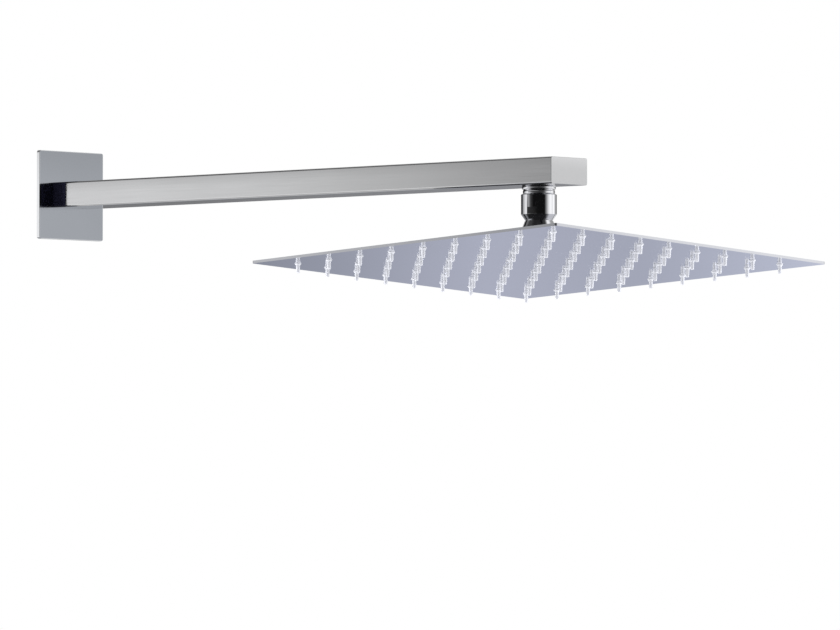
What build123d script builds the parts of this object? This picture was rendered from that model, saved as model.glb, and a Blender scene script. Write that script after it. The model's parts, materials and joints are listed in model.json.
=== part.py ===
from build123d import *
import math
import os

# Arm, a flat rectangular tube standing straight out of the wall
ARM_REACH = 500.0
ARM_OVERHANG = 30.0
ARM_WIDTH = 40.0
ARM_HEIGHT = 20.0
ARM_WALL = 1.5
ARM_EDGE_RADIUS = 1.5
END_CAP_THICKNESS = 2.0
END_CAP_EDGE_RADIUS = 0.25

# Wall end: cover plate, grip ring, threaded inlet and dark collar
PLATE_SIDE = 70.0
PLATE_DEPTH = 3.0
PLATE_SHEET = 1.2
PLATE_RIM = 2.0
PLATE_CORNER_RADIUS = 2.0
PLATE_EDGE_RADIUS = 0.25
PLATE_HOLE_CLEARANCE = 0.15
GRIP_BAND = 4.5
GRIP_THICKNESS = 1.2
THREAD_RADIUS = 10.48
THREAD_CHAMFER = 1.0
INLET_LENGTH = 16.0
INLET_NECK_RADIUS = 9.6
INLET_BORE_RADIUS = 6.0
SPIGOT_RADIUS = 8.0
SPIGOT_LENGTH = 10.0
COLLAR_LENGTH = 14.0
COLLAR_EDGE_RADIUS = 1.5
PLUG_LENGTH = 25.0
PLUG_CLEARANCE = 0.1

# Outlet and swivel housing under the arm
OUTLET_FLANGE_THICKNESS = 2.0
OUTLET_FLANGE_BAND = 2.5
OUTLET_BORE_RADIUS = 5.5
UPPER_RING_RADIUS = 12.6
UPPER_RING_HEIGHT = 2.6
LOWER_RING_RADIUS = 11.9
LOWER_RING_HEIGHT = 3.1
RING_GROOVE_HEIGHT = 0.5
RING_GROOVE_DEPTH = 0.2
RING_BULGE = 0.3
UNION_WASHER_THICKNESS = 1.2
UNION_SHOULDER = 2.0
NUT_RADIUS = 13.25
NUT_WALL = 1.75
NUT_HEIGHT = 15.0
NUT_CHAMFER = 0.5
NUT_CONE_HEIGHT = 4.6
NUT_MOUTH_RADIUS = 10.0
NUT_MOUTH_LIP = 0.8
FLAT_WIDTH = 8.5
FLAT_HEIGHT = 5.0
FLAT_RISE = 0.2
FLAT_ANGLE = -71.0

# Ball joint
BALL_RADIUS = 11.0
BALL_TOP = 6.0
BALL_ABOVE_MOUTH = 8.8
BALL_CLEARANCE = 0.05
BALL_ROOM = 0.4
TILT_LIMIT = 12.0
SEAT_HIGH = 0.5
SEAT_LOW = 6.0
SEAT_RING_HIGH = 5.2
SEAT_RING_LOW = 1.5
SEAT_RING_CLEARANCE = 0.08
CUSHION_THICKNESS = 1.0
CUSHION_BAND = 1.4
STUD_RADIUS = 7.0
STUD_BORE_RADIUS = 4.5
STUD_LENGTH = 30.0

# Hub that joins the stud to the head
CUP_CLEARANCE = 0.4
CUP_RIM_DROP = 0.8
CUP_RIM_WIDTH = 0.8
CUP_RIM_CROWN = 0.35
HUB_BASE_RADIUS = 26.0
HUB_BASE_HEIGHT = 2.5
HUB_FLARE_SAG = 1.2
HUB_WASHER_THICKNESS = 1.5

# Head, two thin sheets joined at the rim, held a little tilted
HEAD_DROP = 56.0
HEAD_TILT = 5.0
HEAD_SIDE = 300.0
HEAD_THICKNESS = 2.0
HEAD_SHEET = 0.6
HEAD_RIM = 3.0
HEAD_CORNER_RADIUS = 1.5

# Nozzles, a square pattern of soft tips held by a flange inside the face and a collar outside
NOZZLES_PER_SIDE = 9
NOZZLE_MARGIN = 24.0
NOZZLE_LENGTH = 7.0
NOZZLE_BASE_RADIUS = 1.6
NOZZLE_TIP_RADIUS = 1.3
NOZZLE_SIDES = 8
NOZZLE_FLANGE_THICKNESS = 0.7
NOZZLE_FLANGE_BAND = 1.0
NOZZLE_COLLAR_BAND = 0.9
NOZZLE_COLLAR_RIM = 0.4
NOZZLE_COLLAR_TAPER = 0.9
NOZZLE_CLEARANCE = 0.05

# Places along the arm
collar_end = PLATE_DEPTH + COLLAR_LENGTH
arm_end = ARM_REACH + ARM_OVERHANG
tube_end = arm_end - END_CAP_THICKNESS
bore_width = ARM_WIDTH - 2 * ARM_WALL
bore_height = ARM_HEIGHT - 2 * ARM_WALL
sheet_back = PLATE_DEPTH - PLATE_SHEET
plate_hole_radius = INLET_NECK_RADIUS + PLATE_HOLE_CLEARANCE
grip_radius = INLET_NECK_RADIUS + GRIP_BAND
grip_back = sheet_back - GRIP_THICKNESS

# Heights of the swivel housing, from the ball centre
nut_mouth = -BALL_ABOVE_MOUTH
nut_shoulder = nut_mouth + NUT_CONE_HEIGHT
nut_top = nut_shoulder + NUT_HEIGHT
groove_foot = nut_top + LOWER_RING_HEIGHT
groove_top = groove_foot + RING_GROOVE_HEIGHT
underside = groove_top + UPPER_RING_HEIGHT
ball_top_angle = math.acos(BALL_TOP / BALL_RADIUS)
body_roof = BALL_RADIUS * math.cos(ball_top_angle - math.radians(TILT_LIMIT)) + BALL_ROOM
body_foot = SEAT_RING_HIGH + CUSHION_THICKNESS
union_face = body_roof + UNION_SHOULDER
outlet_foot = union_face + UNION_WASHER_THICKNESS
floor_inside = underside + ARM_WALL
body_radius = NUT_RADIUS - NUT_WALL
cushion_radius = body_radius - SEAT_RING_CLEARANCE
seat_radius = BALL_RADIUS + BALL_CLEARANCE
upper_ring_edge = UPPER_RING_RADIUS - RING_BULGE
lower_ring_edge = LOWER_RING_RADIUS - RING_BULGE
groove_radius = lower_ring_edge - RING_GROOVE_DEPTH

# Heights of the hub and head, from the ball centre along the stud
cup_radius = math.hypot(NUT_MOUTH_RADIUS, nut_mouth) + CUP_CLEARANCE
cup_rim = nut_mouth - CUP_RIM_DROP
stud_foot = -STUD_LENGTH
hub_washer_foot = stud_foot - HUB_WASHER_THICKNESS
head_top = underside - HEAD_DROP
hub_base_top = head_top + HUB_BASE_HEIGHT
cavity_top = head_top - HEAD_SHEET
face_foot = head_top - HEAD_THICKNESS
face_top = face_foot + HEAD_SHEET
nozzle_tip = face_foot - NOZZLE_LENGTH
collar_rim_foot = face_foot - NOZZLE_COLLAR_RIM
collar_foot = collar_rim_foot - NOZZLE_COLLAR_TAPER
nozzle_flange_radius = NOZZLE_BASE_RADIUS + NOZZLE_FLANGE_BAND
nozzle_collar_radius = NOZZLE_BASE_RADIUS + NOZZLE_COLLAR_BAND
nozzle_pitch = (HEAD_SIDE - 2 * NOZZLE_MARGIN) / (NOZZLES_PER_SIDE - 1)
cavity_side = HEAD_SIDE - 2 * HEAD_RIM

ball_place = Pos(ARM_REACH, 0, -ARM_HEIGHT / 2 - underside)
tilt_axis = Axis((0, 0, 0), (-1, -1, 0))


def on_ball(radius, height):
    """The half-section point at this height on a ball about the origin."""
    return (math.sqrt(radius**2 - height**2), height)


def beside_ball(radius, out):
    """The half-section point below the middle at this distance from the axis."""
    return (out, -math.sqrt(radius**2 - out**2))


def between(start, end, sag):
    """The middle of the line between two points, moved sideways by the sag."""
    along = Vector(*end) - Vector(*start)
    aside = along.rotate(Axis.Z, -90).normalized() * sag
    middle = Vector(*start) + along / 2 + aside
    return (middle.X, middle.Y)


def turned(start, *steps):
    """A solid turned about the upright axis; a step of two points is an arc."""
    edges = []
    here = start
    for step in steps + (start,):
        if isinstance(step[0], tuple):
            through, there = step
            points = (here, through, there)
            edges.append(ThreePointArc(*((r, 0, z) for r, z in points)))
        else:
            there = step
            edges.append(Line(*((r, 0, z) for r, z in (here, there))))
        here = there
    return revolve(make_face(edges), Axis.Z)


def ring(inner, outer, foot, top):
    """A plain ring about the upright axis."""
    return turned((inner, foot), (outer, foot), (outer, top), (inner, top))


def nozzle_outline(radius, height):
    """The many-sided outline of a nozzle at this height."""
    return (Pos(0, 0, height) * RegularPolygon(radius, NOZZLE_SIDES)).face()


def bar(width, height, radius, start, end):
    """A bar along the arm with rounded long edges."""
    section = Plane.YZ.offset(start) * RectangleRounded(width, height, radius)
    return extrude(section, end - start)


def along_arm(shape):
    """Lays a turned piece down so that its axis runs out of the wall."""
    return Rot(0, 90, 0) * shape


def hang(shape):
    """Carries a piece from the ball centre to its place under the arm."""
    return ball_place * shape


def tilted(shape):
    """Carries a piece of the head to its place, leaning as the ball holds it."""
    return hang(shape.rotate(tilt_axis, HEAD_TILT))


# Cover plate, a shallow pan with its open side on the wall
plate = bar(PLATE_SIDE, PLATE_SIDE, PLATE_CORNER_RADIUS, 0, PLATE_DEPTH)
plate = fillet(plate.faces().sort_by(Axis.X)[-1].edges(), PLATE_EDGE_RADIUS)
pan_side = PLATE_SIDE - 2 * PLATE_RIM
plate -= bar(pan_side, pan_side, PLATE_CORNER_RADIUS / 2, 0, sheet_back)
wall_plate = plate - along_arm(Cylinder(plate_hole_radius, 2 * PLATE_DEPTH))

# Rubber ring behind the plate that grips the threaded inlet
plate_grip_ring = along_arm(ring(INLET_NECK_RADIUS, grip_radius, grip_back, sheet_back))

# Threaded inlet that screws into the wall fitting
inlet_nipple = along_arm(
    turned(
        (INLET_BORE_RADIUS, -INLET_LENGTH),
        (THREAD_RADIUS - THREAD_CHAMFER, -INLET_LENGTH),
        (THREAD_RADIUS, THREAD_CHAMFER - INLET_LENGTH),
        (THREAD_RADIUS, 0),
        (INLET_NECK_RADIUS, 0),
        (INLET_NECK_RADIUS, PLATE_DEPTH),
        (SPIGOT_RADIUS, PLATE_DEPTH),
        (SPIGOT_RADIUS, PLATE_DEPTH + SPIGOT_LENGTH),
        (INLET_BORE_RADIUS, PLATE_DEPTH + SPIGOT_LENGTH),
    )
)

# Dark collar with a plug that closes the wall end of the arm
plug_width = bore_width - 2 * PLUG_CLEARANCE
plug_height = bore_height - 2 * PLUG_CLEARANCE
collar = bar(ARM_WIDTH, ARM_HEIGHT, COLLAR_EDGE_RADIUS, PLATE_DEPTH, collar_end)
collar += bar(plug_width, plug_height, PLUG_CLEARANCE, collar_end, collar_end + PLUG_LENGTH)
spigot_bore = ring(0, SPIGOT_RADIUS, PLATE_DEPTH, PLATE_DEPTH + SPIGOT_LENGTH)
plug_bore = ring(0, INLET_BORE_RADIUS, PLATE_DEPTH, collar_end + PLUG_LENGTH)
wall_collar = collar - along_arm(spigot_bore) - along_arm(plug_bore)

# Arm tube with the outlet hole in its floor, and the cap on its free end
tube = bar(ARM_WIDTH, ARM_HEIGHT, ARM_EDGE_RADIUS, collar_end, tube_end)
tube -= bar(bore_width, bore_height, PLUG_CLEARANCE, collar_end, tube_end)
arm_tube = tube - hang(ring(0, THREAD_RADIUS, underside, floor_inside))
cap = bar(ARM_WIDTH, ARM_HEIGHT, ARM_EDGE_RADIUS, tube_end, arm_end)
arm_end_cap = fillet(cap.faces().sort_by(Axis.X)[-1].edges(), END_CAP_EDGE_RADIUS)

# Outlet nipple, flanged inside the arm
flange_radius = THREAD_RADIUS + OUTLET_FLANGE_BAND
flange_top = floor_inside + OUTLET_FLANGE_THICKNESS
outlet_nipple = hang(
    turned(
        (OUTLET_BORE_RADIUS, outlet_foot),
        (THREAD_RADIUS, outlet_foot),
        (THREAD_RADIUS, floor_inside),
        (flange_radius, floor_inside),
        (flange_radius, flange_top),
        (OUTLET_BORE_RADIUS, flange_top),
    )
)
union_washer = hang(ring(OUTLET_BORE_RADIUS, THREAD_RADIUS, union_face, outlet_foot))

# Swivel body, the ringed upper half of the housing
cushion_bore = cushion_radius - CUSHION_BAND
upper_ring_middle = (UPPER_RING_RADIUS, (underside + groove_top) / 2)
lower_ring_middle = (LOWER_RING_RADIUS, (groove_foot + nut_top) / 2)
swivel_body = hang(
    turned(
        (THREAD_RADIUS, underside),
        (upper_ring_edge, underside),
        (upper_ring_middle, (upper_ring_edge, groove_top)),
        (groove_radius, groove_top),
        (groove_radius, groove_foot),
        (lower_ring_edge, groove_foot),
        (lower_ring_middle, (lower_ring_edge, nut_top)),
        (body_radius, nut_top),
        (body_radius, body_foot),
        (cushion_bore, body_foot),
        (cushion_bore, body_roof),
        (OUTLET_BORE_RADIUS, body_roof),
        (OUTLET_BORE_RADIUS, union_face),
        (THREAD_RADIUS, union_face),
    )
)

# Swivel nut, the lower half, with the ball seat and two spanner flats
seat_middle = on_ball(seat_radius, (SEAT_HIGH - SEAT_LOW) / 2)
nut = turned(
    (body_radius, nut_top),
    (NUT_RADIUS - NUT_CHAMFER, nut_top),
    (NUT_RADIUS, nut_top - NUT_CHAMFER),
    (NUT_RADIUS, nut_shoulder),
    (NUT_MOUTH_RADIUS, nut_mouth),
    (NUT_MOUTH_RADIUS - NUT_MOUTH_LIP, nut_mouth),
    on_ball(seat_radius, -SEAT_LOW),
    (seat_middle, on_ball(seat_radius, SEAT_HIGH)),
    (body_radius, SEAT_HIGH),
)
flat_reach = math.sqrt(NUT_RADIUS**2 - (FLAT_WIDTH / 2) ** 2)
flat_cut = Pos(flat_reach, 0, nut_shoulder + FLAT_RISE) * Box(
    NUT_RADIUS, NUT_RADIUS, FLAT_HEIGHT, align=(Align.MIN, Align.CENTER, Align.MIN)
)
for turn in (FLAT_ANGLE, FLAT_ANGLE + 180):
    nut -= Rot(0, 0, turn) * flat_cut
swivel_nut = hang(nut)

# Soft cushion and slippery ring that press the ball into its seat
seat_cushion = hang(ring(cushion_bore, cushion_radius, SEAT_RING_HIGH, body_foot))
ring_middle = on_ball(seat_radius, (SEAT_RING_LOW + SEAT_RING_HIGH) / 2)
seat_ring = hang(
    turned(
        (cushion_radius, SEAT_RING_LOW),
        (cushion_radius, SEAT_RING_HIGH),
        on_ball(seat_radius, SEAT_RING_HIGH),
        (ring_middle, on_ball(seat_radius, SEAT_RING_LOW)),
    )
)

# Ball stud with its water bore
ball_stud = tilted(
    turned(
        (STUD_BORE_RADIUS, BALL_TOP),
        on_ball(BALL_RADIUS, BALL_TOP),
        (on_ball(BALL_RADIUS, 0), beside_ball(BALL_RADIUS, STUD_RADIUS)),
        (STUD_RADIUS, stud_foot),
        (STUD_BORE_RADIUS, stud_foot),
    )
)
hub_washer = tilted(ring(STUD_BORE_RADIUS, STUD_RADIUS, hub_washer_foot, stud_foot))

# Hub, a flared foot whose cup slides over the mouth of the nut
rim_inside = on_ball(cup_radius, cup_rim)
rim_outside = (rim_inside[0] + CUP_RIM_WIDTH, cup_rim)
rim_crown = (rim_inside[0] + CUP_RIM_WIDTH / 2, cup_rim + CUP_RIM_CROWN)
cup_foot = beside_ball(cup_radius, STUD_RADIUS)
cup_middle = beside_ball(cup_radius, (STUD_RADIUS + rim_inside[0]) / 2)
flare_foot = (HUB_BASE_RADIUS, hub_base_top)
head_hub = tilted(
    turned(
        cup_foot,
        (cup_middle, rim_inside),
        (rim_crown, rim_outside),
        (between(rim_outside, flare_foot, HUB_FLARE_SAG), flare_foot),
        (HUB_BASE_RADIUS, head_top),
        (STUD_BORE_RADIUS, head_top),
        (STUD_BORE_RADIUS, hub_washer_foot),
        (STUD_RADIUS, hub_washer_foot),
    )
)

# Top sheet, a flat pan with the water entry at its middle
outline = RectangleRounded(HEAD_SIDE, HEAD_SIDE, HEAD_CORNER_RADIUS)
top_sheet = extrude(Pos(0, 0, face_top) * outline, head_top - face_top)
top_sheet -= extrude(Pos(0, 0, face_top) * Rectangle(cavity_side, cavity_side), cavity_top - face_top)
top_sheet -= ring(0, STUD_BORE_RADIUS, cavity_top, head_top)
head_top_sheet = tilted(top_sheet)

# Face sheet, perforated with the nozzle pattern
pattern = GridLocations(nozzle_pitch, nozzle_pitch, NOZZLES_PER_SIDE, NOZZLES_PER_SIDE)
hole = RegularPolygon(NOZZLE_BASE_RADIUS + NOZZLE_CLEARANCE, NOZZLE_SIDES)
face_outline = outline - pattern * hole
head_face_sheet = tilted(extrude(Pos(0, 0, face_foot) * face_outline, HEAD_SHEET))

# One nozzle, then the rows of the pattern
nozzle = loft([nozzle_outline(NOZZLE_TIP_RADIUS, nozzle_tip), nozzle_outline(NOZZLE_BASE_RADIUS, face_top)])
nozzle += extrude(nozzle_outline(nozzle_flange_radius, face_top), NOZZLE_FLANGE_THICKNESS)
nozzle += extrude(nozzle_outline(nozzle_collar_radius, collar_rim_foot), NOZZLE_COLLAR_RIM)
collar_taper = [
    nozzle_outline(NOZZLE_TIP_RADIUS, collar_foot),
    nozzle_outline(nozzle_collar_radius, collar_rim_foot),
]
nozzle += loft(collar_taper)
row_places = GridLocations(nozzle_pitch, nozzle_pitch, NOZZLES_PER_SIDE, 1)
row_middle = (NOZZLES_PER_SIDE + 1) / 2
nozzle_rows = {}
for number in range(1, NOZZLES_PER_SIDE + 1):
    row_place = Pos(0, (number - row_middle) * nozzle_pitch, 0)
    row = Compound([row_place * place * nozzle for place in row_places])
    nozzle_rows[f"nozzle_row_{number}"] = tilted(row)

nodes = {
    "wall_plate": wall_plate,
    "plate_grip_ring": plate_grip_ring,
    "inlet_nipple": inlet_nipple,
    "wall_collar": wall_collar,
    "arm_tube": arm_tube,
    "arm_end_cap": arm_end_cap,
    "outlet_nipple": outlet_nipple,
    "union_washer": union_washer,
    "swivel_body": swivel_body,
    "swivel_nut": swivel_nut,
    "seat_cushion": seat_cushion,
    "seat_ring": seat_ring,
    "ball_stud": ball_stud,
    "hub_washer": hub_washer,
    "head_hub": head_hub,
    "head_top_sheet": head_top_sheet,
    "head_face_sheet": head_face_sheet,
    **nozzle_rows,
}
os.makedirs("parts", exist_ok=True)
for name, shape in nodes.items():
    export_step(shape, f"parts/{name}.step")
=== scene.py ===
import json
import math

import bpy
from bpy.props import FloatProperty, FloatVectorProperty, IntProperty, PointerProperty
from mathutils import Matrix, Vector


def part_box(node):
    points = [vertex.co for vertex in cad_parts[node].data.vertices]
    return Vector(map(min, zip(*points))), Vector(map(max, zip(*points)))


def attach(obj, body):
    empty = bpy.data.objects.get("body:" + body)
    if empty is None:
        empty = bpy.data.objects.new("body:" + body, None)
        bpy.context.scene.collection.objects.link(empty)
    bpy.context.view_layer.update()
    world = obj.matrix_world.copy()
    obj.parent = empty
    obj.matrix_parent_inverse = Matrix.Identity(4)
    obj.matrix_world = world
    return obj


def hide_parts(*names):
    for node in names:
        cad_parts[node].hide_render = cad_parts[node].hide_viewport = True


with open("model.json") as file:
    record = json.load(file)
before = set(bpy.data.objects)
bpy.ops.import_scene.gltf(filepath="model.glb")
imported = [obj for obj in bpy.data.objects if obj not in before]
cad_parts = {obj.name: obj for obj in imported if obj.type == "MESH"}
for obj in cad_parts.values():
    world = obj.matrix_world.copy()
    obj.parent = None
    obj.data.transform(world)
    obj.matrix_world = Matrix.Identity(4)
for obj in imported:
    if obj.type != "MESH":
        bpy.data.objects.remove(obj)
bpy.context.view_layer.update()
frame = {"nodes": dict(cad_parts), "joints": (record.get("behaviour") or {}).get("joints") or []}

bl_info = {
    "name": "Rain Shower Head",
    "version": (1, 0, 0),
    "blender": (4, 5, 0),
    "location": "View3D > Sidebar > Shower",
    "description": "Turned details, nozzles and finishes for a rain shower head on a wall arm",
    "category": "Object",
}

# Where the turned pieces go: upright over the ball, leaning with the head, or lying along the arm
TILT = next(joint for joint in frame["joints"] if joint["name"] == "head_tilt")
BALL_CENTRE = Vector(TILT["pos_m"])
REST_TILT = -math.radians(sum(TILT["range_deg"]) / 2)
SWIVEL_PLACE = Matrix.Translation(BALL_CENTRE)
HEAD_PLACE = SWIVEL_PLACE @ Matrix.Rotation(REST_TILT, 4, Vector(TILT["axis"]))
WALL_PLACE = Matrix.Rotation(math.radians(90), 4, "Y")

# Boxes of the solids that the turned pieces stand for
BODY_LOW, BODY_HIGH = (corner - BALL_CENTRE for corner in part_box("swivel_body"))
NUT_LOW, NUT_HIGH = (corner - BALL_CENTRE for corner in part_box("swivel_nut"))
INLET_LOW, INLET_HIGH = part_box("inlet_nipple")

# Steps round a turned piece, along an arc and over an eased edge
ROUND_STEPS = 96
NOZZLE_STEPS = 20
ARC_STEPS = 10
TIP_STEPS = 6
EASE_STEPS = 3

# Points closer than this are one, and edges sharper than these are eased or stay sharp
SEAM = 1e-6
EASED_ANGLE = math.radians(30)
SMOOTH_ANGLE = math.radians(32)

# One flank of the thread's ridge as a share of the pitch, and how deep its foot sits in the core
FLANK_SHARE = 0.45
SUNK_SHARE = 0.25


def length(label, default, words):
    """A size in metres with its name and meaning."""
    return FloatProperty(
        name=label, description=words, default=default, min=0.0, precision=5,
        unit="LENGTH", subtype="DISTANCE",
    )


def colour(label, default, words):
    """A finish colour with its name and meaning."""
    return FloatVectorProperty(
        name=label, description=words, default=default, size=3, min=0.0, max=1.0, subtype="COLOR"
    )


def angle(label, degrees, words):
    """An angle, given in degrees and kept in radians."""
    return FloatProperty(
        name=label, description=words, default=math.radians(degrees), subtype="ANGLE", unit="ROTATION"
    )


class SwivelSizes(bpy.types.PropertyGroup):
    """Sizes of the housing under the arm."""

    thread_radius: length("Thread radius", 0.01048, "Outside radius of the half-inch thread")
    water_radius: length("Water bore", 0.0055, "Radius of the water way through the housing")
    upper_ring_radius: length("Upper ring", 0.0126, "Crown of the upper bead")
    upper_ring_height: length("Upper ring height", 0.0026, "Height of the upper bead")
    lower_ring_radius: length("Lower ring", 0.0119, "Crown of the lower bead")
    groove_height: length("Groove height", 0.0005, "Gap between the two beads")
    groove_depth: length("Groove depth", 0.0002, "Depth of the groove under the lower bead's edge")
    ring_bulge: length("Ring bulge", 0.0003, "How far a bead stands out at its middle")
    wall: length("Wall", 0.00175, "Wall of the nut")
    shoulder: length("Shoulder", 0.002, "Web that the union washer sits on")
    roof_room: length("Roof room", 0.0082, "Height of the chamber roof over the ball centre")
    chamfer: length("Chamfer", 0.0005, "Chamfer on the nut's top edge")
    cone_height: length("Cone height", 0.0046, "Height of the nut's cone")
    mouth_radius: length("Mouth radius", 0.010, "Outside radius of the nut's mouth")
    mouth_lip: length("Mouth lip", 0.0008, "Wall left at the mouth")
    seat_radius: length("Seat radius", 0.01105, "Radius of the ball seat")
    seat_low: length("Seat foot", 0.006, "Depth of the seat under the ball centre")
    seat_high: length("Seat top", 0.0005, "Height of the seat over the ball centre")
    flat_width: length("Flat width", 0.0085, "Width of a spanner flat")
    flat_height: length("Flat height", 0.005, "Height of a spanner flat")
    flat_rise: length("Flat rise", 0.0002, "Height of a flat over the cone")
    flat_turn: angle("Flat direction", -71.0, "Direction that the first flat faces")
    edge: length("Edge rounding", 0.0002, "Rounding of the turned edges")


class HubSizes(bpy.types.PropertyGroup):
    """Sizes of the flared foot that joins the ball stud to the head."""

    stud_radius: length("Stud radius", 0.007, "Radius of the ball stud")
    bore_radius: length("Bore radius", 0.0045, "Radius of the water bore")
    stud_length: length("Stud length", 0.030, "Length of the stud under the ball centre")
    washer: length("Washer", 0.0015, "Thickness of the washer under the stud")
    cup_clearance: length("Cup clearance", 0.0004, "Gap between the nut's mouth and the cup")
    rim_drop: length("Rim drop", 0.0008, "Drop of the cup's rim under the mouth")
    rim_width: length("Rim width", 0.0008, "Width of the cup's rim")
    rim_crown: length("Rim crown", 0.00035, "Height of the rim's rounding")
    base_radius: length("Base radius", 0.026, "Radius of the foot on the head")
    base_height: length("Base height", 0.0025, "Straight height of the foot's edge")
    flare_sag: length("Flare sag", 0.0012, "How hollow the flare is")
    drop: length("Head drop", 0.056, "From the arm's underside to the top of the head")


class NozzleSizes(bpy.types.PropertyGroup):
    """Sizes of the soft nozzles and of the sheets that hold them."""

    per_side: IntProperty(name="Nozzles a side", description="Nozzles along one side", default=9, min=2)
    margin: length("Margin", 0.024, "From the head's edge to the first row")
    head_side: length("Head side", 0.300, "Side of the square head")
    head_thickness: length("Head thickness", 0.002, "Thickness of the head")
    sheet: length("Sheet", 0.0006, "Thickness of one sheet")
    reach: length("Length", 0.007, "Length of a nozzle under the face")
    base_radius: length("Base radius", 0.0016, "Radius at the face")
    tip_radius: length("Tip radius", 0.0013, "Radius at the tip")
    flange_band: length("Flange band", 0.001, "Width of the flange inside the head")
    flange: length("Flange", 0.0007, "Thickness of the flange inside the head")
    collar_band: length("Collar band", 0.0009, "Width of the collar that seals on the face")
    collar_rim: length("Collar rim", 0.0004, "Thickness of the collar at its rim")
    collar_taper: length("Collar taper", 0.0009, "Height of the collar's slope under its rim")
    bore_radius: length("Bore radius", 0.0005, "Radius of the water bore")
    bore_depth: length("Bore depth", 0.004, "Depth of the bore that shows at the tip")


class InletSizes(bpy.types.PropertyGroup):
    """Sizes of the threaded wall inlet."""

    crest_radius: length("Crest radius", 0.01048, "Radius over the thread")
    root_radius: length("Root radius", 0.00932, "Radius under the thread")
    pitch: length("Pitch", 0.001814, "Rise of the thread in one turn")
    neck_radius: length("Neck radius", 0.0096, "Radius inside the cover plate")
    spigot_radius: length("Spigot radius", 0.008, "Radius inside the collar")
    bore_radius: length("Bore radius", 0.006, "Radius of the water bore")
    plate_depth: length("Plate depth", 0.003, "Depth of the cover plate")
    lead: length("Lead", 0.001, "Plain chamfer before the thread starts")


class Finishes(bpy.types.PropertyGroup):
    """Colours of the finishes."""

    arm_steel: colour("Arm steel", (0.65, 0.653, 0.662), "Satin steel of the arm")
    # The plate's steel colour is set far darker than the arm's and head's steel: painted shade for the dim
    # surroundings its polished face reflects
    plate_steel: colour("Plate steel", (0.35, 0.368, 0.40), "Polished steel of the cover plate")
    # The plate's edge colour is a painted highlight: its sides and the band at its edges are made bright to
    # stand in for light glancing off them
    plate_rim_painted_highlight: colour("Plate edge", (0.85, 0.86, 0.88), "Bright edge of the cover plate")
    head_steel: colour("Head steel", (0.64, 0.65, 0.69), "Polished steel of the head")
    chrome: colour("Chrome", (0.84, 0.845, 0.87), "Bright plate of the swivel")
    black: colour("Gloss black", (0.008, 0.008, 0.016), "Collar at the wall")
    brass: colour("Brass", (0.60, 0.42, 0.18), "Threaded inlet and outlet")
    rubber: colour("Rubber", (0.022, 0.022, 0.023), "Washers and rings")
    plastic: colour("Seat plastic", (0.80, 0.80, 0.77), "Ring over the ball")
    # The silicone's lavender-grey tint is a painted reflection: it stands in for the head's lavender face
    # seen through the clear nozzles
    silicone: colour("Silicone", (0.86, 0.875, 0.94), "Cloudy nozzles")


class StageSettings(bpy.types.PropertyGroup):
    """Camera and floor."""

    azimuth: angle("Azimuth", 42.85, "Direction the camera looks from")
    elevation: angle("Elevation", -1.86, "Height of the camera over the horizon")
    place: FloatVectorProperty(
        name="Camera place", description="Where the camera stands", default=(3.61136, -3.48339, -0.25716),
        size=3, subtype="TRANSLATION", unit="LENGTH",
    )
    lens: FloatProperty(name="Lens", description="Focal length", default=270.92, min=1.0, unit="CAMERA")
    floor_height: FloatProperty(
        name="Floor height", description="Height of the floor", default=-0.42,
        unit="LENGTH", subtype="DISTANCE",
    )
    floor_radius: length("Floor radius", 2.4, "Where the floor fades out")


class ShowerSettings(bpy.types.PropertyGroup):
    """All settings of the shower."""

    swivel: PointerProperty(type=SwivelSizes)
    hub: PointerProperty(type=HubSizes)
    nozzle: PointerProperty(type=NozzleSizes)
    inlet: PointerProperty(type=InletSizes)
    finish: PointerProperty(type=Finishes)
    stage: PointerProperty(type=StageSettings)


# Modelling


def only(piece):
    """Selects one object and nothing else."""
    bpy.ops.object.select_all(action="DESELECT")
    piece.select_set(True)
    bpy.context.view_layer.objects.active = piece


def arc(start, through, end, steps=ARC_STEPS):
    """Points after the start along the arc through three half-section points."""
    a, b, c = (Vector(point) for point in (start, through, end))
    ab, ac = b - a, c - a
    spread = 2 * (ab.x * ac.y - ab.y * ac.x)
    centre = a + Vector((
        (ac.y * ab.length_squared - ab.y * ac.length_squared) / spread,
        (ab.x * ac.length_squared - ac.x * ab.length_squared) / spread,
    ))
    first = math.atan2(a.y - centre.y, a.x - centre.x)
    turn = math.atan2(c.y - centre.y, c.x - centre.x) - first
    turn = (turn + math.pi) % math.tau - math.pi
    radius = (a - centre).length
    angles = (first + turn * step / steps for step in range(1, steps + 1))
    return [(centre.x + radius * math.cos(t), centre.y + radius * math.sin(t)) for t in angles]


def on_ball(radius, height):
    """The half-section point at this height on a ball."""
    return (math.sqrt(radius**2 - height**2), height)


def beside_ball(radius, out):
    """The half-section point under the middle of a ball at this distance out."""
    return (out, -math.sqrt(radius**2 - out**2))


def draw_section(name, points):
    """Starts a mesh as one point and extrudes it along a closed half section."""
    bpy.ops.object.select_all(action="DESELECT")
    bpy.ops.mesh.primitive_plane_add()
    piece = bpy.context.object
    piece.name = piece.data.name = name
    bpy.ops.object.mode_set(mode="EDIT")
    bpy.ops.mesh.select_all(action="SELECT")
    bpy.ops.mesh.merge(type="CENTER")
    bpy.ops.transform.translate(value=(points[0][0], 0, points[0][1]))
    for (r0, z0), (r1, z1) in zip(points, points[1:] + points[:1]):
        step = (r1 - r0, 0, z1 - z0)
        bpy.ops.mesh.extrude_vertices_move(TRANSFORM_OT_translate={"value": step})
    bpy.ops.mesh.select_all(action="SELECT")
    return piece


def close_up():
    """Joins the seam of a spun mesh, clears the edge on its axis and turns its faces outwards."""
    bpy.ops.mesh.select_all(action="SELECT")
    bpy.ops.mesh.remove_doubles(threshold=SEAM)
    bpy.ops.mesh.delete_loose()
    bpy.ops.mesh.select_all(action="SELECT")
    bpy.ops.mesh.normals_make_consistent(inside=False)
    bpy.ops.object.mode_set(mode="OBJECT")


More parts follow.
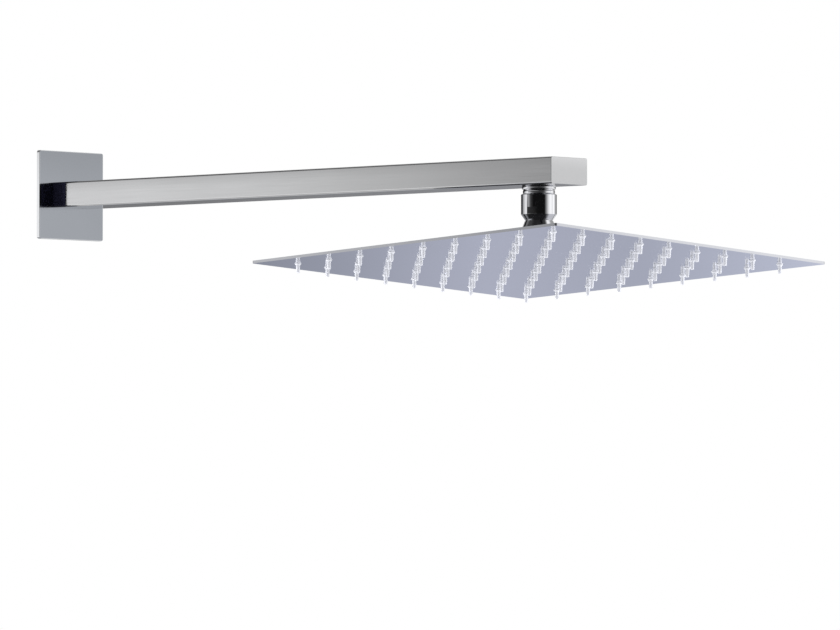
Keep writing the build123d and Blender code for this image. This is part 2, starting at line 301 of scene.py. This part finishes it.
def turned(name, points, steps):
    """A closed piece turned about the upright axis from its half section."""
    piece = draw_section(name, points)
    bpy.ops.mesh.spin(steps=steps, angle=math.tau, center=(0, 0, 0), axis=(0, 0, 1))
    close_up()
    return piece


def combine(piece, tool, operation):
    """Joins a second solid to a piece or cuts it out, and takes the second solid away."""
    change = piece.modifiers.new("Combine", "BOOLEAN")
    change.operation = operation
    change.solver = "EXACT"
    change.object = tool
    only(piece)
    bpy.ops.object.modifier_apply(modifier=change.name)
    only(tool)
    bpy.ops.object.delete()


def ease_edges(piece, width):
    """Rounds every sharp edge a little."""
    only(piece)
    bevel = piece.modifiers.new("Eased edges", "BEVEL")
    bevel.width = width
    bevel.segments = EASE_STEPS
    bevel.limit_method = "ANGLE"
    bevel.angle_limit = EASED_ANGLE
    bpy.ops.object.modifier_apply(modifier=bevel.name)


def set_down(piece, place):
    """Moves a piece to its place and leaves its object at the origin."""
    only(piece)
    piece.matrix_world = place
    bpy.ops.object.transform_apply(location=True, rotation=True, scale=True)


def hand_over(piece, body, node, material):
    """Smooths and paints a finished piece and lets it stand for its CAD node."""
    only(piece)
    bpy.ops.object.shade_smooth_by_angle(angle=SMOOTH_ANGLE)
    shading = piece.modifiers.new("Even shading", "WEIGHTED_NORMAL")
    shading.keep_sharp = True
    bpy.ops.object.modifier_apply(modifier=shading.name)
    piece.data.materials.clear()
    piece.data.materials.append(material)
    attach(piece, body)
    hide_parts(node)


def paint(material, *nodes):
    """Gives CAD nodes a finish."""
    for name in nodes:
        node = frame["nodes"][name]
        node.data.materials.clear()
        node.data.materials.append(material)


# Finishes

# Crown of the rolled faces, as a radius in metres
ARM_CROWN = 0.15
PLATE_CROWN = 0.8
# How far in from the plate's edge its bright rim of painted highlight starts, and where it is full
HIGHLIGHT_RIM_START = 0.0006
HIGHLIGHT_RIM_FULL = 0.0002
# The middle of the noise, where most of its values lie
NOISE_LOW = 0.3
NOISE_HIGH = 0.7
EVEN = (1, 1, 1)


def connect(tree, node, **inputs):
    """Links sockets into a node's inputs or sets plain values on them; _2 is the input with that number."""
    for name, value in inputs.items():
        socket = node.inputs[int(name[1:])] if name[0] == "_" else node.inputs[name.replace("_", " ")]
        if isinstance(value, bpy.types.NodeSocket):
            tree.links.new(value, socket)
        else:
            socket.default_value = value


def add(tree, kind, settings=None, **inputs):
    """Adds a shader node with its settings and inputs."""
    node = tree.nodes.new(kind)
    for name, value in (settings or {}).items():
        setattr(node, name, value)
    connect(tree, node, **inputs)
    return node


def find(tree, kind):
    """The first shader node of a kind."""
    return next(node for node in tree.nodes if node.type == kind)


def emptied(owner):
    """The shader tree of a material or world, with nothing in it."""
    owner.use_nodes = True
    owner.node_tree.nodes.clear()
    return owner.node_tree


def reckon(tree, operation, first, second=0.0):
    """One sum with numbers or sockets."""
    return add(tree, "ShaderNodeMath", {"operation": operation}, _0=first, _1=second).outputs["Value"]


def blend(tree, factor, first, second):
    """Blends two colours, which are inputs 6 and 7 and output 2 of their node."""
    return add(tree, "ShaderNodeMix", {"data_type": "RGBA"}, _0=factor, _6=first, _7=second).outputs[2]


def span(tree, value, start, end, low=0.0, high=1.0, curve="LINEAR"):
    """Goes from low to high while a value goes from start to end, and no further."""
    return add(
        tree, "ShaderNodeMapRange", {"interpolation_type": curve},
        Value=value, From_Min=start, From_Max=end, To_Min=low, To_Max=high,
    ).outputs["Result"]


def grain(tree, stretch, scale, detail=4.0):
    """Noise on the object, drawn out along one axis."""
    place = add(tree, "ShaderNodeTexCoord").outputs["Object"]
    mapped = add(tree, "ShaderNodeMapping", Vector=place, Scale=stretch).outputs["Vector"]
    return add(tree, "ShaderNodeTexNoise", Vector=mapped, Scale=scale, Detail=detail).outputs["Fac"]


def shades(tree, factor, colour, spread):
    """A colour that drifts a little lighter and darker with the noise."""
    dark, light = ((*(min(c * (1 + side * spread), 1) for c in colour), 1) for side in (-1, 1))
    return blend(tree, factor, dark, light)


def surface(
    name, colour, *, scale, smooth, rough, strength, depth, spread,
    cloud=None, stretch=EVEN, detail=4.0, **shine,
):
    """A finish with fine noise in its gloss and relief and a drift in its colour, cloudy or as fine."""
    material = bpy.data.materials.get(name) or bpy.data.materials.new(name)
    tree = emptied(material)
    shader = add(tree, "ShaderNodeBsdfPrincipled")
    add(tree, "ShaderNodeOutputMaterial", Surface=shader.outputs["BSDF"])
    fine = grain(tree, stretch, scale, detail)
    drift = grain(tree, EVEN, cloud) if cloud else fine
    relief = add(tree, "ShaderNodeBump", Height=fine, Strength=strength, Distance=depth)
    connect(
        tree, shader,
        Base_Color=shades(tree, drift, colour, spread),
        Roughness=span(tree, fine, NOISE_LOW, NOISE_HIGH, smooth, rough),
        Normal=relief.outputs["Normal"],
        **shine,
    )
    return material


def steel(name, colour, stretch, smooth, rough):
    """Stainless steel with drawn-out polishing lines and faint handling marks."""
    return surface(
        name, colour, stretch=stretch, scale=900.0, smooth=smooth, rough=rough,
        strength=0.06, depth=0.00002, cloud=14.0, spread=0.04, Metallic=1.0,
    )


def crowned(material, radius):
    """Gives flat rolled faces a slight crown from top to bottom, under their fine relief."""
    tree = material.node_tree
    relief = find(tree, "BUMP")
    place = add(tree, "ShaderNodeTexCoord").outputs["Object"]
    height = add(tree, "ShaderNodeSeparateXYZ", Vector=place).outputs["Z"]
    fall = reckon(tree, "MULTIPLY", height, height)
    # A circle falls away by the square of the height over twice its radius
    crown = add(tree, "ShaderNodeBump", Height=fall, Strength=1.0, Distance=-0.5 / radius)
    connect(tree, relief, Normal=crown.outputs["Normal"])
    return material


def arm_steel(name, colour):
    """Satin steel drawn along the arm, with the crown of a rolled tube."""
    return crowned(steel(name, colour, stretch=(0.02, 1, 1), smooth=0.08, rough=0.13), ARM_CROWN)


def plate_steel(name, colour, edge):
    """Polished steel of the square cover plate, its face colour darkened as painted shade and its bright
    rim a painted highlight.
    """
    material = crowned(steel(name, colour, stretch=(1, 0.04, 1), smooth=0.07, rough=0.12), PLATE_CROWN)
    tree = material.node_tree
    place = add(tree, "ShaderNodeTexCoord").outputs["Object"]
    parts = add(tree, "ShaderNodeSeparateXYZ", Vector=place).outputs
    across, up = (reckon(tree, "ABSOLUTE", parts[axis]) for axis in "YZ")
    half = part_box("wall_plate")[1].y
    # Painted highlight: the band at the edges and the sides take the bright edge colour in place of the
    # steel's own
    rim = span(tree, reckon(tree, "MAXIMUM", across, up), half - HIGHLIGHT_RIM_START, half - HIGHLIGHT_RIM_FULL)
    shader = find(tree, "BSDF_PRINCIPLED")
    face = shader.inputs["Base Color"].links[0].from_socket
    connect(tree, shader, Base_Color=blend(tree, rim, face, (*edge, 1)))
    return material


def head_steel(name, colour):
    """Polished steel of the head's two sheets."""
    return steel(name, colour, stretch=(0.03, 1, 1), smooth=0.06, rough=0.11)


def chrome(name, colour):
    """Bright plate with faint water marks."""
    return surface(
        name, colour, scale=180.0, detail=6.0, smooth=0.02, rough=0.05,
        strength=0.02, depth=0.00001, cloud=30.0, spread=0.03, Metallic=1.0,
    )


def gloss_black(name, colour):
    """Deep black gloss with a slight orange-peel."""
    return surface(
        name, colour, scale=420.0, smooth=0.05, rough=0.10,
        strength=0.03, depth=0.00002, cloud=60.0, spread=0.3, Coat_Weight=0.6, Coat_Roughness=0.04,
    )


def brass(name, colour):
    """Machined brass with turning lines across the arm's direction."""
    return surface(
        name, colour, stretch=(8, 1, 1), scale=260.0, smooth=0.22, rough=0.38,
        strength=0.15, depth=0.00003, cloud=90.0, spread=0.12, Metallic=1.0,
    )


def rubber(name, colour):
    """Matt moulded rubber."""
    return surface(
        name, colour, scale=1500.0, smooth=0.62, rough=0.82,
        strength=0.2, depth=0.00004, cloud=120.0, spread=0.25,
    )


def plastic(name, colour):
    """Waxy seat plastic."""
    return surface(
        name, colour, scale=300.0, smooth=0.32, rough=0.45, strength=0.05, depth=0.00002, spread=0.05,
        Subsurface_Weight=0.2, Subsurface_Radius=(0.002, 0.002, 0.002),
    )


def silicone(name, colour):
    """Cloudy clear silicone, whose given colour carries a lavender-grey tint that is a painted reflection
    of the head's face.
    """
    return surface(
        name, colour, scale=500.0, smooth=0.2, rough=0.3, strength=0.05, depth=0.00003, spread=0.02,
        IOR=1.41, Transmission_Weight=0.1, Sheen_Weight=0.3, Sheen_Roughness=0.3,
    )


# Pieces


class SHOWER_OT_finish_solids(bpy.types.Operator):
    """Paint the solids that keep their CAD shape"""

    bl_idname = "shower.finish_solids"
    bl_label = "Finish Arm, Plate and Sheets"

    def execute(self, context):
        finish = context.scene.shower.finish
        paint(arm_steel("Arm Steel", finish.arm_steel), "arm_tube", "arm_end_cap")
        # The plate's face colour is painted shade and its edge colour a painted highlight
        paint(plate_steel("Plate Steel", finish.plate_steel, finish.plate_rim_painted_highlight), "wall_plate")
        paint(head_steel("Head Steel", finish.head_steel), "head_top_sheet", "head_face_sheet")
        paint(gloss_black("Gloss Black", finish.black), "wall_collar")
        paint(chrome("Chrome", finish.chrome), "ball_stud")
        paint(brass("Brass", finish.brass), "outlet_nipple")
        paint(
            rubber("Black Rubber", finish.rubber),
            "plate_grip_ring", "union_washer", "seat_cushion", "hub_washer",
        )
        paint(plastic("Seat Plastic", finish.plastic), "seat_ring")
        return {"FINISHED"}


class SHOWER_OT_swivel_body(bpy.types.Operator):
    """Turn the beaded upper half of the swivel housing"""

    bl_idname = "shower.swivel_body"
    bl_label = "Swivel Body"

    def execute(self, context):
        size = context.scene.shower.swivel
        top, foot = BODY_HIGH.z, BODY_LOW.z
        groove_top = top - size.upper_ring_height
        groove_foot = groove_top - size.groove_height
        upper_edge = size.upper_ring_radius - size.ring_bulge
        lower_edge = size.lower_ring_radius - size.ring_bulge
        groove = lower_edge - size.groove_depth
        body_radius = (NUT_HIGH.x - NUT_LOW.x) / 2 - size.wall
        skirt = body_radius - size.wall
        union_face = size.roof_room + size.shoulder
        upper_crown = (size.upper_ring_radius, (top + groove_top) / 2)
        lower_crown = (size.lower_ring_radius, (groove_foot + NUT_HIGH.z) / 2)
        points = [(size.thread_radius, top), (upper_edge, top)]
        points += arc((upper_edge, top), upper_crown, (upper_edge, groove_top))
        points += [(groove, groove_top), (groove, groove_foot), (lower_edge, groove_foot)]
        points += arc((lower_edge, groove_foot), lower_crown, (lower_edge, NUT_HIGH.z))
        points += [(body_radius, NUT_HIGH.z), (body_radius, foot), (skirt, foot)]
        points += [(skirt, size.roof_room), (size.water_radius, size.roof_room)]
        points += [(size.water_radius, union_face), (size.thread_radius, union_face)]
        piece = turned("Swivel_Body", points, ROUND_STEPS)
        set_down(piece, SWIVEL_PLACE)
        hand_over(piece, "arm", "swivel_body", bpy.data.materials["Chrome"])
        return {"FINISHED"}


class SHOWER_OT_swivel_nut(bpy.types.Operator):
    """Turn the nut with its ball seat and cut the two spanner flats"""

    bl_idname = "shower.swivel_nut"
    bl_label = "Swivel Nut"

    def execute(self, context):
        size = context.scene.shower.swivel
        radius, top, mouth = (NUT_HIGH.x - NUT_LOW.x) / 2, NUT_HIGH.z, NUT_LOW.z
        shoulder = mouth + size.cone_height
        bore = radius - size.wall
        seat_foot = on_ball(size.seat_radius, -size.seat_low)
        seat_top = on_ball(size.seat_radius, size.seat_high)
        seat_middle = on_ball(size.seat_radius, (size.seat_high - size.seat_low) / 2)
        points = [(bore, top), (radius - size.chamfer, top), (radius, top - size.chamfer)]
        points += [(radius, shoulder), (size.mouth_radius, mouth)]
        points += [(size.mouth_radius - size.mouth_lip, mouth), seat_foot]
        points += arc(seat_foot, seat_middle, seat_top)
        points += [(bore, size.seat_high)]
        piece = turned("Swivel_Nut", points, ROUND_STEPS)
        flat_reach = math.sqrt(radius**2 - (size.flat_width / 2) ** 2)
        flat_middle = shoulder + size.flat_rise + size.flat_height / 2
        for turn in (size.flat_turn, size.flat_turn + math.pi):
            out = Vector((math.cos(turn), math.sin(turn), 0)) * (flat_reach + radius / 2)
            middle = out + Vector((0, 0, flat_middle))
            self.cut_flat(piece, middle, turn, (radius, radius, size.flat_height))
        ease_edges(piece, size.edge)
        set_down(piece, SWIVEL_PLACE)
        hand_over(piece, "arm", "swivel_nut", bpy.data.materials["Chrome"])
        return {"FINISHED"}

    def cut_flat(self, piece, middle, turn, sides):
        """Cuts one flat with a block."""
        bpy.ops.object.select_all(action="DESELECT")
        bpy.ops.mesh.primitive_cube_add(size=1, location=middle, rotation=(0, 0, turn), scale=sides)
        combine(piece, bpy.context.object, "DIFFERENCE")


class SHOWER_OT_head_hub(bpy.types.Operator):
    """Turn the flared foot with the cup under the nut"""

    bl_idname = "shower.head_hub"
    bl_label = "Head Hub"

    def execute(self, context):
        size = context.scene.shower.hub
        swivel = context.scene.shower.swivel
        cup_radius = math.hypot(swivel.mouth_radius, NUT_LOW.z) + size.cup_clearance
        rim = NUT_LOW.z - size.rim_drop
        rim_inside = on_ball(cup_radius, rim)
        rim_crown = (rim_inside[0] + size.rim_width / 2, rim + size.rim_crown)
        rim_outside = (rim_inside[0] + size.rim_width, rim)
        cup_foot = beside_ball(cup_radius, size.stud_radius)
        cup_middle = beside_ball(cup_radius, (size.stud_radius + rim_inside[0]) / 2)
        head_top = BODY_HIGH.z - size.drop
        flare_foot = (size.base_radius, head_top + size.base_height)
        run = Vector(flare_foot) - Vector(rim_outside)
        hollow = Vector((run.y, -run.x)).normalized() * size.flare_sag
        flare_middle = Vector(rim_outside) + run / 2 + hollow
        washer_foot = -size.stud_length - size.washer
        points = [cup_foot]
        points += arc(cup_foot, cup_middle, rim_inside)
        points += arc(rim_inside, rim_crown, rim_outside)
        points += arc(rim_outside, flare_middle, flare_foot, 2 * ARC_STEPS)
        points += [(size.base_radius, head_top), (size.bore_radius, head_top)]
        points += [(size.bore_radius, washer_foot), (size.stud_radius, washer_foot)]
        piece = turned("Head_Hub", points, ROUND_STEPS)
        ease_edges(piece, swivel.edge)
        set_down(piece, HEAD_PLACE)
        hand_over(piece, "head", "head_hub", bpy.data.materials["Chrome"])
        return {"FINISHED"}


class SHOWER_OT_inlet(bpy.types.Operator):
    """Turn the wall inlet and wind its thread"""

    bl_idname = "shower.inlet"
    bl_label = "Threaded Inlet"

    def execute(self, context):
        size = context.scene.shower.inlet
        back, front = INLET_LOW.x, INLET_HIGH.x
        points = [(size.bore_radius, back), (size.root_radius, back), (size.root_radius, 0)]
        points += [(size.neck_radius, 0), (size.neck_radius, size.plate_depth)]
        points += [(size.spigot_radius, size.plate_depth), (size.spigot_radius, front)]
        points += [(size.bore_radius, front)]
        piece = turned("Inlet_Thread", points, ROUND_STEPS)
        combine(piece, self.wound_ridge(size, back), "UNION")
        set_down(piece, WALL_PLACE)
        hand_over(piece, "arm", "inlet_nipple", bpy.data.materials["Brass"])
        return {"FINISHED"}

    def wound_ridge(self, size, back):
        """Winds the ridge of the thread and closes its two ends."""
        foot = size.root_radius - SUNK_SHARE * (size.crest_radius - size.root_radius)
        flank = FLANK_SHARE * size.pitch
        start = back + size.lead
        points = [(foot, start), (size.crest_radius, start + flank), (foot, start + 2 * flank)]
        ridge = draw_section("Thread_Ridge", points)
        bpy.ops.mesh.remove_doubles(threshold=SEAM)
        bpy.ops.object.mode_set(mode="OBJECT")
        wind = ridge.modifiers.new("Winding", "SCREW")
        wind.angle = math.tau
        wind.screw_offset = size.pitch
        wind.iterations = int((-back - 2 * size.lead) / size.pitch) - 1
        wind.steps = wind.render_steps = ROUND_STEPS // 2
        only(ridge)
        bpy.ops.object.modifier_apply(modifier=wind.name)
        bpy.ops.object.mode_set(mode="EDIT")
        bpy.ops.mesh.select_all(action="DESELECT")
        bpy.ops.mesh.select_mode(type="EDGE")
        bpy.ops.mesh.select_non_manifold(extend=False)
        bpy.ops.mesh.fill_holes(sides=len(points))
        bpy.ops.mesh.select_mode(type="VERT")
        close_up()
        return ridge


class SHOWER_OT_nozzles(bpy.types.Operator):
    """Turn one nozzle and set it out in rows"""

    bl_idname = "shower.nozzles"
    bl_label = "Nozzle Rows"

    def execute(self, context):
        size = context.scene.shower.nozzle
        # The nozzles' lavender-grey tint is a painted reflection of the head's face
        material = silicone("Clear Silicone", context.scene.shower.finish.silicone)
        pitch = (size.head_side - 2 * size.margin) / (size.per_side - 1)
        first = -pitch * (size.per_side - 1) / 2
        row = self.first_row(context, pitch)
        for number in range(1, size.per_side + 1):
            only(row)
            bpy.ops.object.duplicate(linked=False)
            copy = bpy.context.object
            copy.name = copy.data.name = f"Nozzle_Row_{number}"
            across = Matrix.Translation((first, first + (number - 1) * pitch, 0))
            set_down(copy, HEAD_PLACE @ across)
            hand_over(copy, "head", f"nozzle_row_{number}", material)
        only(row)
        bpy.ops.object.delete()
        return {"FINISHED"}

    def first_row(self, context, pitch):
        """One nozzle from its half section, repeated along a row."""
        size = context.scene.shower.nozzle
        face_foot = BODY_HIGH.z - context.scene.shower.hub.drop - size.head_thickness
        face_top = face_foot + size.sheet
        tip = face_foot - size.reach
        rim_foot = face_foot - size.collar_rim
        collar_foot = rim_foot - size.collar_taper
        collar_radius = size.base_radius + size.collar_band
        flange_radius = size.base_radius + size.flange_band
        flange_top = face_top + size.flange
        tip_round = (size.tip_radius - size.bore_radius) / 2
        tip_outside = (size.tip_radius, tip + tip_round)
        tip_crown = (size.tip_radius - tip_round, tip)
        tip_inside = (size.bore_radius, tip + tip_round)
        bore_end = tip + size.bore_depth
        points = [(0, flange_top), (flange_radius, flange_top), (flange_radius, face_top)]
        points += [(size.base_radius, face_top), (size.base_radius, face_foot)]
        points += [(collar_radius, face_foot), (collar_radius, rim_foot)]
        points += [(size.base_radius, collar_foot), tip_outside]
        points += arc(tip_outside, tip_crown, tip_inside, TIP_STEPS)
        points += [(size.bore_radius, bore_end), (0, bore_end)]
        nozzle = turned("Nozzle", points, NOZZLE_STEPS)
        along = nozzle.modifiers.new("Row", "ARRAY")
        along.count = size.per_side
        along.use_relative_offset = False
        along.use_constant_offset = True
        along.constant_offset_displace = (pitch, 0, 0)
        only(nozzle)
        bpy.ops.object.modifier_apply(modifier=along.name)
        return nozzle


# Stage

WHITE = (1, 1, 1, 1)
SOFT_WHITE = (0.95, 0.95, 0.96, 1)
PALE_FLOOR = (0.96, 0.96, 0.96, 1)
DEEP_GREY = (0.02, 0.02, 0.02, 1)

# Where the floor starts to fade and is gone, as shares of its radius
FLOOR_FADE = (0.35, 0.95)

# Lamps: name, place, width in metres and power in watts
LAMPS = (
    ("Softbox", (0.2, -0.5, 2.2), 1.6, 9.0),
    ("Strip Right", (2.33, 1.7, -0.16), 0.5, 40.0),
    ("Strip Left", (-1.33, -1.7, -0.16), 0.5, 40.0),
)

# Rings of studio screens from the top down: degrees round from the arm's direction, and a grey or a colour
SCREENS = {
    "zenith": (
        (0, 0.04), (25, 0.05), (62, 0.2), (85, 0.45), (180, 0.45), (200, 0.08), (250, 0.02),
        (340, 0.02), (360, 0.04),
    ),
    "ceiling": (
        (0, 0.06), (14, 0.1), (26, 0.5), (38, 1.0), (78, 1.0), (95, 0.5), (165, 0.4), (180, 0.06),
        (235, 0.05), (270, 0.05), (290, 0.35), (335, 0.35), (352, 0.06), (360, 0.06),
    ),
    "high": (
        (0, 0.4), (40, 0.5), (75, 0.38), (170, 0.38), (184, 0.18), (208, 0.18), (222, 0.42),
        (265, 0.36), (290, 0.3), (335, 0.3), (360, 0.4),
    ),
    "rise": (
        (0, 0.2), (8, 0.5), (16, 0.8), (36, 1.0), (41, 0.78), (45, 0.78), (48.5, 0.76), (49.3, 1.18),
        (53, 1.22), (72, 1.0), (88, 0.3), (140, 0.2), (180, 0.2), (200, 0.6), (222, 0.72), (225, 0.66),
        (227, 0.52), (228.5, 0.26), (240, 0.25), (252, 0.1), (262, 0.02), (345, 0.02), (352, 0.08),
        (360, 0.2),
    ),
    "level": (
        (0, 0.22), (3, 0.32), (9, 0.52), (16, 0.8), (24, 1.0), (33, 1.12), (41, 1.1), (44, 0.97),
        (47.8, 0.83), (49, 0.83), (54, 1.14), (64, 1.12), (85, 0.4), (100, 0.16), (133, 0.22),
        (150, 0.03), (181, 0.03), (192, 0.44), (204, 0.64), (214, 0.85), (224.3, 0.95), (225.2, 0.94),
        (226.1, 0.82), (227, 0.78), (227.9, 0.44), (228.4, 0.25), (232, 0.44), (246, 0.24), (256, 0.05),
        (275, 0.006), (350, 0.006), (360, 0.22),
    ),
    "low": (
        (0, 0.5), (8, 0.85), (80, 0.85), (110, 0.9), (128, 0.8, 0.84, 0.98), (129, 0.68, 0.71, 0.84),
        (129.35, 0.56, 0.59, 0.71), (129.85, 0.51, 0.53, 0.64), (130.3, 0.46, 0.48, 0.58),
        (130.8, 0.435, 0.455, 0.55), (131.4, 0.465, 0.49, 0.59), (131.9, 0.51, 0.53, 0.64),
        (133.1, 0.43, 0.45, 0.54), (134.4, 0.25, 0.265, 0.32), (142, 0.22, 0.23, 0.28), (170, 0.6),
        (190, 0.9), (225, 1.0), (229, 0.75), (250, 0.5), (266, 0.3), (286, 0.15), (342, 0.15),
        (360, 0.5),
    ),
    "floor": (
        (0, 0.25), (70, 0.3), (95, 0.7), (186, 0.8), (200, 0.3), (360, 0.25),
    ),
    # What a mirror shows of the upper screens by way of another mirror, and where the lower ones go dark
    "deep_ceiling": (
        (0, 0.015), (40, 0.03), (52, 0.3), (62, 0.9), (100, 0.8), (120, 0.2), (160, 0.02), (360, 0.015),
    ),
    "deep_high": (
        (0, 0.02), (20, 0.1), (30, 0.6), (45, 1.0), (100, 0.8), (120, 0.2), (180, 0.2), (200, 0.8),
        (235, 0.8), (246, 0.15), (260, 0.02), (360, 0.02),
    ),
    "deep_shade": (
        (0, 0), (140, 0), (150, 1), (212, 1), (222, 0), (360, 0),
    ),
}

# How far up or down a direction points where each ring starts and ends to take over from the level one
SCREEN_BANDS = {
    "rise": (0.06, 0.16),
    "high": (0.18, 0.3),
    "ceiling": (0.5, 0.62),
    "zenith": (0.7, 0.78),
    "low": (-0.04, -0.17),
    "floor": (-0.5, -0.62),
}
# Ray depths between which a reflection becomes one seen in another mirror, and what it then shows
DEEP_BAND = (2.2, 2.8)
SECOND_SCREENS = {"high": "deep_high", "ceiling": "deep_ceiling", "zenith": "deep_ceiling"}


class SHOWER_OT_stage(bpy.types.Operator):
    """Set up the floor, the studio light and the camera"""

    bl_idname = "shower.stage"
    bl_label = "Floor, Light and Camera"

    def execute(self, context):
        settings = context.scene.shower.stage
        self.floor(settings)
        self.studio(context.scene)
        for lamp in LAMPS:
            self.softbox(*lamp)
        self.camera(context.scene, settings)
        context.scene.view_settings.view_transform = "Standard"
        return {"FINISHED"}

    def floor(self, settings):
        """A pale floor that fades out round its edge and lets views from below through."""
        bpy.ops.object.select_all(action="DESELECT")
        bpy.ops.mesh.primitive_circle_add(
            vertices=ROUND_STEPS, radius=settings.floor_radius, fill_type="NGON",
            location=(BALL_CENTRE.x, BALL_CENTRE.y, settings.floor_height),
        )
        floor = bpy.context.object
        floor.name = "Floor"
        floor.visible_glossy = False
        material = bpy.data.materials.new("Pale Floor")
        tree = emptied(material)
        place = add(tree, "ShaderNodeTexCoord").outputs["Object"]
        reach = add(tree, "ShaderNodeVectorMath", {"operation": "LENGTH"}, _0=place).outputs["Value"]
        start, end = (share * settings.floor_radius for share in FLOOR_FADE)
        edge = span(tree, reach, start, end, curve="SMOOTHSTEP")
        under = add(tree, "ShaderNodeNewGeometry").outputs["Backfacing"]
        fade = reckon(tree, "MAXIMUM", edge, under)
        pale = add(tree, "ShaderNodeBsdfDiffuse", Color=PALE_FLOOR).outputs["BSDF"]
        clear = add(tree, "ShaderNodeBsdfTransparent").outputs["BSDF"]
        mix = add(tree, "ShaderNodeMixShader", _0=fade, _1=pale, _2=clear).outputs["Shader"]
        add(tree, "ShaderNodeOutputMaterial", Surface=mix)
        floor.data.materials.append(material)

    def studio(self, scene):
        """White background, even soft light, and rings of pale and dark screens that metal reflects."""
        world = bpy.data.worlds.new("Studio")
        tree = emptied(world)
        direction = add(tree, "ShaderNodeTexCoord").outputs["Generated"]
        parts = add(tree, "ShaderNodeSeparateXYZ", Vector=direction).outputs
        turn = reckon(tree, "ARCTAN2", parts["Y"], parts["X"])
        share = reckon(tree, "FLOORED_MODULO", reckon(tree, "DIVIDE", turn, math.tau), 1.0)
        rings = {name: self.ring(tree, share, stops) for name, stops in SCREENS.items()}
        path = add(tree, "ShaderNodeLightPath").outputs
        deep = span(tree, path["Ray Depth"], *DEEP_BAND)
        for name, second in SECOND_SCREENS.items():
            rings[name] = blend(tree, deep, rings[name], rings[second])
        shade = reckon(tree, "MULTIPLY", deep, rings["deep_shade"])
        for name in ("low", "floor"):
            rings[name] = blend(tree, shade, rings[name], DEEP_GREY)
        screens = rings["level"]
        for name, band in SCREEN_BANDS.items():
            screens = blend(tree, span(tree, parts["Z"], *band), screens, rings[name])
        plain = reckon(tree, "MAXIMUM", path["Is Camera Ray"], path["Is Transmission Ray"])
        seen = blend(tree, path["Is Glossy Ray"], SOFT_WHITE, screens)
        lamp = add(tree, "ShaderNodeBackground", Color=blend(tree, plain, seen, WHITE), Strength=1.0)
        add(tree, "ShaderNodeOutputWorld", Surface=lamp.outputs["Background"])
        scene.world = world

    def ring(self, tree, share, stops):
        """The screens round one height, on a ramp that starts with two stops of its own."""
        ramp = add(tree, "ShaderNodeValToRGB", Fac=share)
        marks = ramp.color_ramp.elements
        for index, (degrees, *shade) in enumerate(stops):
            mark = marks[index] if index < 2 else marks.new(degrees / 360)
            mark.position = degrees / 360
            mark.color = (shade[0], shade[len(shade) // 2], shade[-1], 1)
        return ramp.outputs["Color"]

    def softbox(self, name, place, size, power):
        """A round lamp aimed at the swivel."""
        bpy.ops.object.select_all(action="DESELECT")
        bpy.ops.object.light_add(type="AREA", location=place)
        lamp = bpy.context.object
        lamp.name = name
        lamp.data.shape = "DISK"
        lamp.data.size = size
        lamp.data.energy = power
        lamp.visible_glossy = False
        lamp.visible_camera = False
        aim = BALL_CENTRE - lamp.location
        lamp.rotation_euler = aim.to_track_quat("-Z", "Y").to_euler()

    def camera(self, scene, settings):
        """The camera at the photograph's angle."""
        bpy.ops.object.camera_add(location=settings.place)
        camera = bpy.context.object
        camera.name = "Camera"
        flat = math.cos(settings.elevation)
        back = Vector((
            math.sin(settings.azimuth) * flat,
            -math.cos(settings.azimuth) * flat,
            math.sin(settings.elevation),
        ))
        camera.rotation_euler = (-back).to_track_quat("-Z", "Y").to_euler()
        camera.data.sensor_width = 36.0
        camera.data.lens = settings.lens
        camera.data.clip_end = 100.0
        scene.camera = camera


class SHOWER_PT_sidebar(bpy.types.Panel):
    """Lists the steps that build the shower"""

    bl_idname = "SHOWER_PT_sidebar"
    bl_label = "Rain Shower Head"
    bl_space_type = "VIEW_3D"
    bl_region_type = "UI"
    bl_category = "Shower"

    def draw(self, context):
        for step in STEPS:
            self.layout.operator(step.bl_idname)


GROUPS = (SwivelSizes, HubSizes, NozzleSizes, InletSizes, Finishes, StageSettings, ShowerSettings)
STEPS = (
    SHOWER_OT_finish_solids,
    SHOWER_OT_swivel_body,
    SHOWER_OT_swivel_nut,
    SHOWER_OT_head_hub,
    SHOWER_OT_inlet,
    SHOWER_OT_nozzles,
    SHOWER_OT_stage,
)


def register():
    for cls in (*GROUPS, *STEPS, SHOWER_PT_sidebar):
        bpy.utils.register_class(cls)
    bpy.types.Scene.shower = PointerProperty(type=ShowerSettings)


def unregister():
    del bpy.types.Scene.shower
    for cls in reversed((*GROUPS, *STEPS, SHOWER_PT_sidebar)):
        bpy.utils.unregister_class(cls)


def main():
    register()
    bpy.ops.object.select_all(action="DESELECT")
    bpy.ops.shower.finish_solids()
    bpy.ops.shower.swivel_body()
    bpy.ops.shower.swivel_nut()
    bpy.ops.shower.head_hub()
    bpy.ops.shower.inlet()
    bpy.ops.shower.nozzles()
    bpy.ops.shower.stage()


if __name__ == "__main__":
    main()
